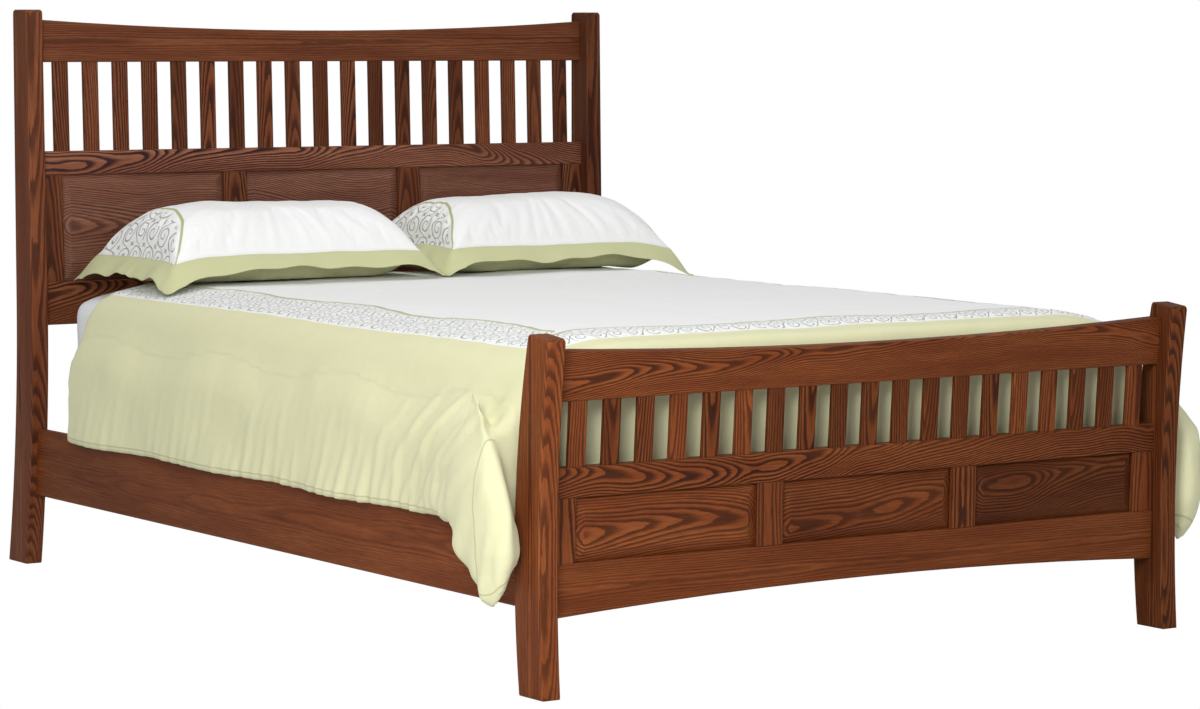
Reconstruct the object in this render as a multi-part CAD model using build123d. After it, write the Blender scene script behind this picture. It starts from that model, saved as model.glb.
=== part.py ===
from build123d import *
import os

# Slatted wooden bed with its bedding. Lengths are in millimetres.
# X runs across the bed, Y from the foot to the head, Z up from the floor.
# Left and right are as seen by someone who stands at the foot and looks to the head.

# Overall sizes
bed_width = 1651.0            # across the outer faces of the posts
side_rail_length = 2121.0     # from post to post, at half the rail's height
head_post_height = 1330.0
foot_post_height = 707.0

# Posts: each is sawn to two gentle curves from one thick plank
post_width = 44.5
post_edge_chamfer = 3.0
post_top_radius = 9.0
foot_post_floor_depth = 82.5
foot_post_top_depth = 69.0
foot_post_lean = 18.0         # how far the top stands out past the floor
foot_post_outer_bow = 18.3
foot_post_inner_bow = 31.1
foot_post_top_slope = 8.0     # the top is sawn square to the leaning post
head_post_floor_depth = 92.5
head_post_curve_height = 640.0
head_post_curve_depth = 84.0  # depth where the leg's curve ends
head_post_top_depth = 72.0
head_post_flare = 47.0        # how far the foot of the leg kicks back
head_post_bow = 14.7
head_post_top_lean = 15.0     # how far the top leans back from the curve's end

# Rails, stiles and panels of both boards
board_thickness = 28.5
rail_setback = 29.0           # from the post's show face to the face of the lower rails
top_rail_setback = 32.0
rail_edge_chamfer = 1.8
tenon_length = 24.0
tenon_thickness = 12.0
tenon_shoulder = 9.0
tenon_clearance = 0.25
stile_width = 64.0
end_stile_width = 58.0
panel_count = 3

# Headboard heights
head_bottom_rail_low = 576.0
head_bottom_rail_height = 103.0
head_panel_opening = 256.0
head_mid_rail_height = 57.5
head_top_rail_drop = 23.0     # from the top of the posts to the ends of the rail
head_top_rail_end_height = 101.5
head_top_rail_dip = 25.0

# Footboard heights
foot_bottom_rail_low = 150.0
foot_bottom_rail_height = 106.0
foot_bottom_rail_rise = 23.0
foot_panel_opening = 128.0
foot_mid_rail_height = 60.0
foot_top_rail_drop = 32.0
foot_top_rail_end_height = 101.0
foot_top_rail_dip = 20.5

# Slats of both boards
slat_count = 19
slat_pitch = 80.0
slat_width = 39.5
slat_thickness = 12.0
slat_setback = 2.5            # from the rails' show face to the face of the slats
slat_edge_chamfer = 1.5
slat_let_in = 12.0
slat_clearance = 0.2

# Raised panels
groove_width = 8.0
groove_depth = 10.0
tongue_thickness = 7.0
tongue_clearance = 1.2
panel_bevel_width = 22.0
panel_field_setback = 2.0

# Side rails, ledgers and cross slats
side_rail_low = 168.5
side_rail_height = 160.0
side_rail_thickness = 22.0
side_rail_inset = 17.2        # outer face of the rail, in from the outer face of the post
side_rail_edge_chamfer = 3.0
side_rail_fit = 0.3
ledger_width = 25.0
ledger_height = 25.0
ledger_end_gap = 30.0
cross_slat_count = 5
cross_slat_width = 89.0
cross_slat_thickness = 19.0
cross_slat_end_clearance = 2.0
cross_slat_end_distance = 160.0

# Hooked rail fasteners
plate_width = 16.0
plate_height = 120.0
plate_thickness = 2.5
plate_clearance = 0.3
hook_thickness = 3.0
hook_reach = 11.0
hook_lip = 7.0
hook_height = 24.0
hook_spacing = 64.0
hook_slot_clearance = 0.6
hook_pocket_depth = 18.0

# Box spring and mattress
mattress_length = 2032.0
mattress_width = 1530.0
mattress_height = 279.0
mattress_crown = 5.0
mattress_corner_radius = 70.0
mattress_edge_radius = 34.0
box_spring_width = 1520.0
box_spring_height = 172.0
box_spring_corner_radius = 70.0
box_spring_edge_radius = 14.0
mattress_foot_gap = 12.0      # from the foot posts' inner faces to the mattress
bedding_clearance = 0.3

# Comforter
comforter_thickness = 24.0
comforter_side_thickness = 22.0
comforter_hem_drop = 10.0     # how far the hem hangs below the top of the side rail
comforter_head_gap = 154.0    # bare mattress at the head
comforter_hem_flare = 30.0    # how far the hem's outer face stands out from the side rail
comforter_fold_count = 7
comforter_fold_depth = 11.0
comforter_rail_clearance = 3.0
comforter_apron_bottom = 330.0
comforter_post_clearance = 6.0
corner_fold_tip = 172.0
corner_fold_top = 655.0
corner_fold_reach = 86.0      # how far the corner fold stands out past the post
corner_fold_length = 215.0

# Pillows, each in a cover with a flat flange
pillow_length = 663.0
pillow_depth = 388.0
pillow_height = 178.0
pillow_draw_in = 16.0
pillow_side_steps = 3
pillow_gap = 4.0
pillow_shift = 37.0           # both pillows lie a little to the right
pillow_head_gap = 24.0        # from the headboard's face to the flange
flange_width = 46.0
flange_thickness = 4.0
flange_level = 14.0           # height of the flange's underside over the comforter

# Places worked out from the sizes above
post_outer_x = bed_width / 2
post_inner_x = post_outer_x - post_width
side_rail_outer_x = post_outer_x - side_rail_inset
side_rail_inner_x = side_rail_outer_x - side_rail_thickness
side_rail_top = side_rail_low + side_rail_height
side_rail_middle = side_rail_low + side_rail_height / 2
cross_slat_top = side_rail_low + ledger_height + cross_slat_thickness
box_spring_low = cross_slat_top + bedding_clearance
mattress_low = box_spring_low + box_spring_height + bedding_clearance
mattress_top = mattress_low + mattress_height
comforter_top = mattress_top + mattress_crown + bedding_clearance + comforter_thickness


def bowed(z, height, top_shift, bow):
    """Sideways place at height z of an edge that bows out between its two ends."""
    share = z / height
    return top_shift * share + 4 * bow * share * (1 - share)


def foot_outer(z):
    """Outer face of a foot post, measured from where it meets the floor."""
    return bowed(z, foot_post_height - foot_post_top_slope, -foot_post_lean, foot_post_outer_bow)


def foot_inner(z):
    """Mattress-side face of a foot post, measured from the outer face at the floor."""
    shift = foot_post_top_depth - foot_post_lean - foot_post_floor_depth
    return foot_post_floor_depth + bowed(z, foot_post_height, shift, foot_post_inner_bow)


def head_face(z):
    """Mattress-side face of a head post, measured from where it meets the floor."""
    if z < head_post_curve_height:
        return bowed(z, head_post_curve_height, -head_post_flare, -head_post_bow)
    share = (z - head_post_curve_height) / (head_post_height - head_post_curve_height)
    return head_post_top_lean * share - head_post_flare


board_spacing = side_rail_length + foot_inner(side_rail_middle) - head_face(side_rail_middle)
overall_length = board_spacing + head_post_floor_depth + foot_post_lean
foot_floor_y = foot_post_lean - overall_length / 2
head_floor_y = foot_floor_y + board_spacing
mattress_foot_y = foot_floor_y + foot_inner(side_rail_middle) + mattress_foot_gap
mattress_head_y = mattress_foot_y + mattress_length
comforter_head_y = mattress_head_y - comforter_head_gap


def block(x0, x1, y0, y1, z0, z1):
    """Plain block between two corners."""
    return Pos((x0 + x1) / 2, (y0 + y1) / 2, (z0 + z1) / 2) * Box(x1 - x0, y1 - y0, z1 - z0)


def post_outline(edges):
    """Closed outline in the YZ plane."""
    return make_face([Plane.YZ * edge for edge in edges])


def post_prism(outline, half_x):
    """Solid from an outline in the YZ plane, centred on X."""
    return Pos(-half_x, 0, 0) * extrude(outline, 2 * half_x, dir=(1, 0, 0))


def foot_post_edges():
    """Outline of a foot post, from the side."""
    outer_top = (-foot_post_lean, foot_post_height - foot_post_top_slope)
    inner_top = (foot_post_top_depth - foot_post_lean, foot_post_height)
    outer_middle = (foot_outer(outer_top[1] / 2), outer_top[1] / 2)
    inner_middle = (foot_inner(foot_post_height / 2), foot_post_height / 2)
    return [
        ThreePointArc((0, 0), outer_middle, outer_top),
        Line(outer_top, inner_top),
        ThreePointArc(inner_top, inner_middle, (foot_post_floor_depth, 0)),
        Line((foot_post_floor_depth, 0), (0, 0)),
    ]


def head_post_edges():
    """Outline of a head post, from the side: a curved leg under a straight, leaning upper half."""
    bend = head_post_curve_height
    face_bend = (-head_post_flare, bend)
    face_top = (head_post_top_lean - head_post_flare, head_post_height)
    back_bend = (face_bend[0] + head_post_curve_depth, bend)
    back_top = (face_top[0] + head_post_top_depth, head_post_height)
    back_middle_y = (head_post_floor_depth + back_bend[0]) / 2 - head_post_bow
    return [
        ThreePointArc((0, 0), (head_face(bend / 2), bend / 2), face_bend),
        Line(face_bend, face_top),
        Line(face_top, back_top),
        Line(back_top, back_bend),
        ThreePointArc(back_bend, (back_middle_y, bend / 2), (head_post_floor_depth, 0)),
        Line((head_post_floor_depth, 0), (0, 0)),
    ]


def rounded_post(edges):
    """Post with its top rounded over and its long edges eased, centred on X."""
    outline = post_outline(edges)
    outline = fillet(outline.vertices().sort_by(Axis.Z)[-2:], post_top_radius)
    post = post_prism(outline, post_width / 2)
    across = post.edges().filter_by(Axis.X)
    return chamfer([e for e in post.edges() if e not in across], post_edge_chamfer)


class Board:
    """One board's heights and the two flat planes that its rails, slats and panels lie in."""

    def __init__(self, floor_y, face, heights):
        bottom_low, bottom_height, panel_opening, mid_height, top_height, top_end = heights
        self.bottom_low = bottom_low
        self.bottom_top = bottom_low + bottom_height
        self.mid_low = self.bottom_top + panel_opening
        self.mid_top = self.mid_low + mid_height
        self.top_end = top_end
        self.top_low = top_end - top_height
        bottom_z = (self.bottom_low + self.bottom_top) / 2
        top_z = (self.top_low + self.top_end) / 2
        bottom_y = floor_y + face(bottom_z) + rail_setback
        mid_y = floor_y + face(self.mid_top) + rail_setback
        top_y = floor_y + face(top_z) + top_rail_setback
        self.lower = self.plane(bottom_y, bottom_z, mid_y, self.mid_top)
        self.upper = self.plane(mid_y, self.mid_top, top_y, top_z)

    @staticmethod
    def plane(y0, z0, y1, z1):
        """Frame with its show face at local Y 0 and heights kept as local Z."""
        direction = Vector(0, y1 - y0, z1 - z0)
        origin = Vector(0, y0, z0) - direction.normalized() * z0
        return Plane(origin=origin, x_dir=(1, 0, 0), z_dir=direction).location


head_board = Board(
    head_floor_y,
    head_face,
    (head_bottom_rail_low, head_bottom_rail_height, head_panel_opening, head_mid_rail_height,
     head_top_rail_end_height, head_post_height - head_top_rail_drop),
)
foot_board = Board(
    foot_floor_y,
    foot_outer,
    (foot_bottom_rail_low, foot_bottom_rail_height, foot_panel_opening, foot_mid_rail_height,
     foot_top_rail_end_height, foot_post_height - foot_top_rail_drop),
)


def plain_rail(low, high, bottom_rise=0.0, top_dip=0.0):
    """Rail between the posts, with an arched lower edge or a hollowed upper edge."""
    half = post_inner_x
    bottom = Line((-half, low), (half, low))
    if bottom_rise:
        bottom = ThreePointArc((-half, low), (0, low + bottom_rise), (half, low))
    top = Line((half, high), (-half, high))
    if top_dip:
        top = ThreePointArc((half, high), (0, high - top_dip), (-half, high))
    edges = [bottom, Line((half, low), (half, high)), top, Line((-half, high), (-half, low))]
    outline = make_face([Plane.XZ * edge for edge in edges])
    rail = extrude(outline, board_thickness, dir=(0, 1, 0))
    long_edges = [e for e in rail.edges() if e.bounding_box().size.X > half]
    return chamfer(long_edges, rail_edge_chamfer)


def tenons(low, high, grow=0.0):
    """Pair of tenons that carry a rail into its two posts."""
    middle = board_thickness / 2
    near, far = post_inner_x - tenon_length, post_inner_x + tenon_length + grow
    y0, y1 = middle - tenon_thickness / 2 - grow, middle + tenon_thickness / 2 + grow
    z0, z1 = low + tenon_shoulder - grow, high - tenon_shoulder + grow
    return block(near, far, y0, y1, z0, z1) + block(-far, -near, y0, y1, z0, z1)


def slat_places():
    """Middles of the slats along X."""
    return [(i - (slat_count - 1) / 2) * slat_pitch for i in range(slat_count)]


def slat(board):
    """One slat, let into the rail above and the rail below."""
    body = block(
        -slat_width / 2, slat_width / 2,
        slat_setback, slat_setback + slat_thickness,
        board.mid_top - slat_let_in, board.top_low + slat_let_in,
    )
    return chamfer(body.edges().filter_by(Axis.Z), slat_edge_chamfer)


def slat_housing(board):
    """Space for one slat in the rails."""
    half_x = slat_width / 2 + slat_clearance
    front, back = slat_setback - slat_clearance, slat_setback + slat_thickness + slat_clearance
    deep = slat_let_in + slat_clearance
    return block(-half_x, half_x, front, back, board.mid_top - deep, board.top_low + deep)


def groove(board):
    """Grooves for the panels, in the edges of the bottom rail and the middle rail."""
    middle = board_thickness / 2
    half = groove_width / 2
    return block(
        -post_inner_x, post_inner_x, middle - half, middle + half,
        board.bottom_top - groove_depth, board.mid_low + groove_depth,
    )


def stile_spans():
    """Left and right edges of the end stiles and of the stiles between them, from left to right."""
    widths = [end_stile_width] + [stile_width] * (panel_count - 1) + [end_stile_width]
    panel_width = (2 * post_inner_x - sum(widths)) / panel_count
    spans = []
    left = -post_inner_x
    for width in widths:
        spans.append((left, left + width))
        left += width + panel_width
    return spans


def stile(board, left, right):
    """Upright between two panels or beside a post, with stub tenons in the rails' grooves."""
    middle = board_thickness / 2
    body = block(left, right, 0, board_thickness, board.bottom_top, board.mid_low)
    stub = block(
        left, right,
        middle - groove_width / 2 + tenon_clearance, middle + groove_width / 2 - tenon_clearance,
        board.bottom_top - groove_depth + tenon_clearance, board.mid_low + groove_depth - tenon_clearance,
    )
    return body + stub


def stile_grooves(left, right, sides):
    """Grooves down the sides of a stile that face a panel."""
    middle = board_thickness / 2
    cuts = []
    for side in sides:
        edge = right if side > 0 else left
        low, high = sorted((edge, edge - side * groove_depth))
        cuts.append(block(low, high, middle - groove_width / 2, middle + groove_width / 2, 0, head_post_height))
    return cuts


def raised_panel(board, index):
    """Panel with a bevel all round a raised field, floating by its tongue in the grooves."""
    spans = stile_spans()
    left, right = spans[index][1], spans[index + 1][0]
    low, high = board.bottom_top, board.mid_low
    tongue = groove_depth - tongue_clearance
    front = (board_thickness - tongue_thickness) / 2
    body = block(
        left - tongue, right + tongue, front, front + tongue_thickness, low - tongue, high + tongue
    )
    centre_x, centre_z = (left + right) / 2, (low + high) / 2
    width, height = right - left, high - low
    outer = Plane((centre_x, front, centre_z), x_dir=(1, 0, 0), z_dir=(0, -1, 0)) * Rectangle(width, height)
    field = Plane((centre_x, panel_field_setback, centre_z), x_dir=(1, 0, 0), z_dir=(0, -1, 0)) * Rectangle(
        width - 2 * panel_bevel_width, height - 2 * panel_bevel_width
    )
    return body + loft([outer, field], ruled=True)


def side_rail_body(side):
    """Side rail that reaches into the posts' curved faces, before it is scribed to them."""
    outer, inner = side * side_rail_outer_x, side * side_rail_inner_x
    low_x, high_x = min(outer, inner), max(outer, inner)
    low_y = foot_floor_y + foot_post_floor_depth / 2
    high_y = head_floor_y + head_post_floor_depth / 4
    body = block(low_x, high_x, low_y, high_y, side_rail_low, side_rail_top)
    return chamfer(body.edges().filter_by(Axis.Y), side_rail_edge_chamfer)


def scribe_tools():
    """Posts' side outlines, moved out by the fit, that cut the rails' ends to the curves."""
    foot = Pos(0, foot_floor_y + side_rail_fit, 0) * post_prism(post_outline(foot_post_edges()), bed_width)
    head = Pos(0, head_floor_y - side_rail_fit, 0) * post_prism(post_outline(head_post_edges()), bed_width)
    return [foot, head]


def hook_places():
    """Heights of the two hooks, from the middle of their plate."""
    return [-hook_spacing / 2, hook_spacing / 2]


def hook_plate():
    """Plate for the end of a side rail, with two hooks. Its back is at local Y 0 and the hooks point to -Y."""
    half_x, half_z = plate_width / 2, plate_height / 2
    half_hook = hook_thickness / 2
    tip_y = -plate_thickness - hook_reach
    solid = block(-half_x, half_x, -plate_thickness, 0, -half_z, half_z)
    for z in hook_places():
        arm = block(-half_hook, half_hook, tip_y, -plate_thickness, z, z + hook_height / 2)
        lip = block(-half_hook, half_hook, tip_y, tip_y + hook_reach / 2, z - hook_lip, z)
        solid += arm + lip
    return solid


def socket_plate():
    """Slotted plate let into a post. Its show face is at local Y 0 and its back at -Y."""
    half_x, half_z = plate_width / 2, plate_height / 2
    half_slot = hook_thickness / 2 + hook_slot_clearance
    solid = block(-half_x, half_x, -plate_thickness, 0, -half_z, half_z)
    for z in hook_places():
        low, high = z - hook_lip - hook_slot_clearance, z + hook_height / 2 + hook_slot_clearance
        solid -= block(-half_slot, half_slot, -plate_thickness, 0, low, high)
    return solid


def socket_pocket():
    """Recess for a socket plate and the deeper slot behind it for the hooks."""
    half_x, half_z = plate_width / 2 + plate_clearance, plate_height / 2 + plate_clearance
    half_slot = hook_thickness / 2 + hook_slot_clearance
    deep = plate_thickness + plate_clearance
    low, high = hook_places()
    recess = block(-half_x, half_x, -deep, deep * 2, -half_z, half_z)
    slot = block(
        -half_slot, half_slot, -hook_pocket_depth, 0,
        low - hook_lip - 2 * hook_slot_clearance, high + hook_height / 2 + 2 * hook_slot_clearance,
    )
    return recess + slot


def rail_pocket():
    """Recess in the end of a side rail for its hook plate."""
    half_x, half_z = plate_width / 2 + plate_clearance, plate_height / 2 + plate_clearance
    return block(-half_x, half_x, -3 * plate_thickness, plate_clearance, -half_z, half_z)


def fastener_frame(x, floor_y, face, inward):
    """Frame on a post's curved face at a rail's middle height. Local -Y points into the post."""
    low, high = side_rail_middle - plate_height / 2, side_rail_middle + plate_height / 2
    y_low, y_high = floor_y + face(low), floor_y + face(high)
    origin = (x, (y_low + y_high) / 2, side_rail_middle)
    return Plane(origin=origin, x_dir=(inward, 0, 0), z_dir=(0, y_high - y_low, high - low)).location


def fastener_frames():
    """Name of the board, side and frame of each of the four rail-to-post joints."""
    x = side_rail_outer_x - side_rail_thickness / 2
    frames = []
    for side in (-1, 1):
        frames.append(("foot", side, fastener_frame(side * x, foot_floor_y, foot_inner, 1)))
        frames.append(("head", side, fastener_frame(side * x, head_floor_y, head_face, -1)))
    return frames


def rail_side(frame):
    """Frame of a hook plate, which stands off its socket plate by the two fits."""
    return frame * Pos(0, plate_thickness + 2 * plate_clearance, 0)


def make_posts():
    """The four posts with their mortises and fastener pockets."""
    posts = {}
    head = rounded_post(head_post_edges())
    foot = rounded_post(foot_post_edges())
    for side, word in ((-1, "left"), (1, "right")):
        x = side * (post_outer_x - post_width / 2)
        posts["head_post_" + word] = Pos(x, head_floor_y, 0) * head
        posts["foot_post_" + word] = Pos(x, foot_floor_y, 0) * foot
        for end, board in (("head", head_board), ("foot", foot_board)):
            name = end + "_post_" + word
            for plane, low, high in board_rails(board):
                posts[name] -= plane * tenons(low, high, tenon_clearance)
    for end, side, frame in fastener_frames():
        word = "left" if side < 0 else "right"
        posts[end + "_post_" + word] -= frame * socket_pocket()
    return posts


def board_rails(board):
    """Plane, low edge and high edge of a board's three rails."""
    return [
        (board.lower, board.bottom_low, board.bottom_top),
        (board.lower, board.mid_low, board.mid_top),
        (board.upper, board.top_low, board.top_end),
    ]


def make_board(word, board, bottom_rise, top_dip):
    """Rails, slats, stiles and panels of one board."""
    nodes = {}
    housings = [board.upper * Pos(x, 0, 0) * slat_housing(board) for x in slat_places()]
    grooves = board.lower * groove(board)
    bottom = plain_rail(board.bottom_low, board.bottom_top, bottom_rise=bottom_rise)
    bottom += tenons(board.bottom_low, board.bottom_top)
    middle = plain_rail(board.mid_low, board.mid_top) + tenons(board.mid_low, board.mid_top)
    top = plain_rail(board.top_low, board.top_end, top_dip=top_dip) + tenons(board.top_low, board.top_end)
    nodes[word + "_bottom_rail"] = board.lower * bottom - grooves
    nodes[word + "_mid_rail"] = board.lower * middle - grooves - housings
    nodes[word + "_top_rail"] = board.upper * top - housings
    body = slat(board)
    nodes[word + "_slats"] = Compound(children=[board.upper * Pos(x, 0, 0) * body for x in slat_places()])
    names = ["end_stile_left", "stile_left", "stile_right", "end_stile_right"]
    for i, (name, (left, right)) in enumerate(zip(names, stile_spans())):
        sides = [s for s, there in ((-1, i > 0), (1, i < panel_count)) if there]
        piece = stile(board, left, right)
        for cut in stile_grooves(left, right, sides):
            piece -= cut
        nodes[word + "_" + name] = board.lower * piece
    for i, name in enumerate(("left", "centre", "right")):
        nodes[word + "_panel_" + name] = board.lower * raised_panel(board, i)
    return nodes


def make_side_rails():
    """Side rails scribed to the posts, with their ledgers."""
    nodes = {}
    tools = scribe_tools()
    for side, word in ((-1, "left"), (1, "right")):
        rail = side_rail_body(side)
        for tool in tools:
            rail -= tool
        for end, frame_side, frame in fastener_frames():
            if frame_side == side:
                rail -= rail_side(frame) * rail_pocket()
        nodes["side_rail_" + word] = rail
        inner = side * side_rail_inner_x
        low_x, high_x = sorted((inner, inner - side * ledger_width))
        nodes["ledger_" + word] = block(
            low_x, high_x,
            foot_floor_y + foot_inner(side_rail_low) + ledger_end_gap,
            head_floor_y + head_face(side_rail_low) - ledger_end_gap,
            side_rail_low, side_rail_low + ledger_height,
        )
    return nodes


def make_cross_slats():
    """Cross slats that rest on the two ledgers and carry the box spring."""
    nodes = {}
    half = side_rail_inner_x - cross_slat_end_clearance
    first = mattress_foot_y + cross_slat_end_distance
    last = mattress_head_y - cross_slat_end_distance
    for i in range(cross_slat_count):
        y = first + (last - first) * i / (cross_slat_count - 1)
        nodes["cross_slat_%d" % (i + 1)] = block(
            -half, half, y - cross_slat_width / 2, y + cross_slat_width / 2,
            cross_slat_top - cross_slat_thickness, cross_slat_top,
        )
    return nodes


def make_fasteners():
    """Hook plates of the side rails and the slotted plates in the posts that they drop into."""
    frames = [frame for end, side, frame in fastener_frames()]
    return {
        "rail_hook_plates": Compound(children=[rail_side(f) * hook_plate() for f in frames]),
        "post_socket_plates": Compound(children=[f * socket_plate() for f in frames]),
    }


def rounded_rectangle(half_x, y0, y1, radius, z):
    """Flat outline with rounded corners at one height."""
    sheet = Pos(0, (y0 + y1) / 2, z) * Rectangle(2 * half_x, y1 - y0)
    return fillet(sheet.vertices(), radius)


def rounded_slab(half_x, y0, y1, z0, z1, corner, edge):
    """Soft slab with rounded corners, its upper and lower edges rounded in short steps."""
    steps = [(1.0, 0.0), (0.55, 0.1), (0.25, 0.3), (0.07, 0.65), (0.0, 1.0)]
    levels = [(edge * inward, z0 + edge * up) for inward, up in steps]
    levels += [(edge * inward, z1 - edge * up) for inward, up in reversed(steps)]
    return loft([rounded_rectangle(half_x - i, y0 + i, y1 - i, corner - i, z) for i, z in levels], ruled=True)


def mattress_solid(grow=0.0):
    """Mattress, or the space that clears it by grow."""
    return rounded_slab(
        mattress_width / 2 + grow, mattress_foot_y - grow, mattress_head_y + grow,
        mattress_low - grow, mattress_top + mattress_crown + grow,
        mattress_corner_radius + grow, mattress_edge_radius,
    )


def bed_core():
    """Space of the mattress and box spring under the comforter, with the bedding clearance."""
    upper = mattress_solid(bedding_clearance)
    half_x = mattress_width / 2 + bedding_clearance
    y0, y1 = mattress_foot_y - bedding_clearance, mattress_head_y + bedding_clearance
    lower = rounded_rectangle(half_x, y0, y1, mattress_corner_radius + bedding_clearance, 0)
    return upper + extrude(lower, mattress_top - mattress_edge_radius, dir=(0, 0, 1))


def drape_side(half_width, fold, y0, y1):
    """One stretch of the comforter's side, which bows out by fold, or is straight."""
    if fold == 0:
        return Line((half_width, y0), (half_width, y1))
    return ThreePointArc((half_width, y0), (half_width + fold, (y0 + y1) / 2), (half_width, y1))


def drape_outline(z, half_width, fold, foot_y):
    """Comforter's outline at one height: straight ends and sides that wave in soft folds."""
    step = (comforter_head_y - foot_y) / comforter_fold_count
    edges = [
        Line((-half_width, foot_y), (half_width, foot_y)),
        Line((-half_width, comforter_head_y), (half_width, comforter_head_y)),
    ]
    for i in range(comforter_fold_count):
        y0, y1 = foot_y + i * step, foot_y + (i + 1) * step
        bow = fold if i % 2 == 0 else -fold
        edges.append(drape_side(half_width, bow, y0, y1))
        edges.append(drape_side(-half_width, -bow, y0, y1))
    return make_face([Pos(0, 0, z) * edge for edge in edges])


def corner_fold_outline(z, reach, length, side, middle_y):
    """Section of the fold of spare cloth that hangs outside the rail at a foot corner."""
    flat = side * (post_outer_x + comforter_rail_clearance)
    shape = [(0, -0.5), (0, 0.5), (0.62, 0.4), (1.0, 0.1), (0.9, -0.22), (0.45, -0.44)]
    points = [(flat + side * reach * out, middle_y + length * along, z) for out, along in shape]
    return make_face(Polyline(points, close=True))


def corner_fold(side):
    """Hanging cone of cloth, widest below the hem and drawn to a point."""
    span = corner_fold_top - corner_fold_tip
    shares = [
        (0.0, 0.12, 0.06),
        (0.10, 0.50, 0.48),
        (0.24, 0.92, 0.96),
        (0.42, 1.00, 1.00),
        (0.64, 0.62, 0.74),
        (0.85, 0.26, 0.42),
        (1.0, 0.06, 0.16),
    ]
    sections = []
    base_y = foot_floor_y + foot_inner(side_rail_middle)
    for height, reach, length in shares:
        middle_y = base_y + corner_fold_length * (0.10 + 0.35 * height)
        sections.append(
            corner_fold_outline(
                corner_fold_tip + span * height, corner_fold_reach * reach,
                corner_fold_length * length, side, middle_y,
            )
        )
    return loft(sections, ruled=True)


def comforter():
    """Comforter over the mattress, tucked in at the foot, with a hanging fold at each foot corner."""
    hem_z = side_rail_top - comforter_hem_drop
    hem_half = side_rail_outer_x + comforter_hem_flare
    top_half = mattress_width / 2 + comforter_side_thickness
    drape_foot_y = foot_floor_y + foot_inner(side_rail_middle) + comforter_post_clearance
    rise = comforter_top - hem_z
    levels = [
        (0.00, hem_half, 1.0, 0.0),
        (0.35, hem_half - (hem_half - top_half) * 0.25, 0.7, 0.0),
        (0.84, top_half + 3, 0.1, 0.0),
        (0.95, top_half - 18, 0.0, 20.0),
        (1.00, top_half - 62, 0.0, 70.0),
    ]
    sections = []
    for share, half, fold, back in levels:
        foot_y = drape_foot_y + back
        sections.append(drape_outline(hem_z + rise * share, half, comforter_fold_depth * fold, foot_y))
    shell = loft(sections, ruled=True)
    apron_half = mattress_width / 2 - comforter_post_clearance
    apron = block(
        -apron_half, apron_half, mattress_foot_y - comforter_side_thickness, mattress_foot_y + mattress_corner_radius,
        comforter_apron_bottom, comforter_top - comforter_thickness / 2,
    )
    rim = apron.edges().filter_by(Axis.X).sort_by(Axis.Z)[-2:].sort_by(Axis.Y)[0]
    apron = chamfer(rim, mattress_edge_radius / 2)
    shell += apron
    for side in (-1, 1):
        shell += corner_fold(side)
    shell -= bed_core()
    rail_half = side_rail_outer_x + comforter_rail_clearance
    shell -= block(-rail_half, rail_half, drape_foot_y - 1, mattress_head_y, 0, side_rail_top + comforter_rail_clearance)
    return shell


def pillow_outline(half_x, half_y, draw, z):
    """Four-sided outline whose sides pull in between the corners, in short straight steps."""
    near, right, far, left = [], [], [], []
    for i in range(pillow_side_steps):
        share = i / pillow_side_steps
        along = 2 * share - 1
        inward = 4 * draw * share * (1 - share)
        near.append((half_x * along, inward - half_y, z))
        right.append((half_x - inward, half_y * along, z))
        far.append((-half_x * along, half_y - inward, z))
        left.append((inward - half_x, -half_y * along, z))
    return make_face(Polyline(near + right + far + left, close=True))


def pillow():
    """Filled pillow in a flanged cover, lying flat, with its underside at local Z 0."""
    half_x, half_y = pillow_length / 2, pillow_depth / 2
    levels = [
        (0.0, 0.84, 0.74, 0.3),
        (0.13, 1.00, 1.00, 1.0),
        (0.50, 0.94, 0.86, 0.3),
        (0.80, 0.76, 0.62, 0.1),
        (0.95, 0.50, 0.36, 0.1),
        (1.0, 0.30, 0.18, 0.1),
    ]
    sections = [
        pillow_outline(half_x * sx, half_y * sy, pillow_draw_in * draw, pillow_height * share)
        for share, sx, sy, draw in levels
    ]
    border = pillow_outline(half_x + flange_width, half_y + flange_width, pillow_draw_in, flange_level)
    return loft(sections, ruled=True) + extrude(border, flange_thickness, dir=(0, 0, 1))


def make_bedding():
    """Box spring, mattress, comforter and two pillows."""
    head_limit = head_board.lower.position.Y
    half_x = pillow_length / 2 + flange_width
    half_y = pillow_depth / 2 + flange_width
    pillow_y = head_limit - pillow_head_gap - half_y
    body = pillow()
    nodes = {
        "box_spring": rounded_slab(
            box_spring_width / 2, mattress_foot_y, mattress_head_y, box_spring_low,
            box_spring_low + box_spring_height, box_spring_corner_radius, box_spring_edge_radius,
        ),
        "mattress": mattress_solid(),
        "comforter": comforter(),
    }
    for side, word in ((-1, "left"), (1, "right")):
        x = side * (half_x + pillow_gap / 2) + pillow_shift
        nodes["pillow_" + word] = Pos(x, pillow_y, comforter_top + bedding_clearance) * body
    return nodes


def main():
    os.makedirs("parts", exist_ok=True)
    nodes = {}
    nodes.update(make_posts())
    nodes.update(make_board("head", head_board, 0.0, head_top_rail_dip))
    nodes.update(make_board("foot", foot_board, foot_bottom_rail_rise, foot_top_rail_dip))
    nodes.update(make_side_rails())
    nodes.update(make_cross_slats())
    nodes.update(make_fasteners())
    nodes.update(make_bedding())
    for name, shape in nodes.items():
        export_step(shape, "parts/" + name + ".step")
    print(len(nodes), "nodes")


main()
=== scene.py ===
import math
import bpy
import bmesh
import numpy as np
from mathutils import Matrix, Vector


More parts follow.
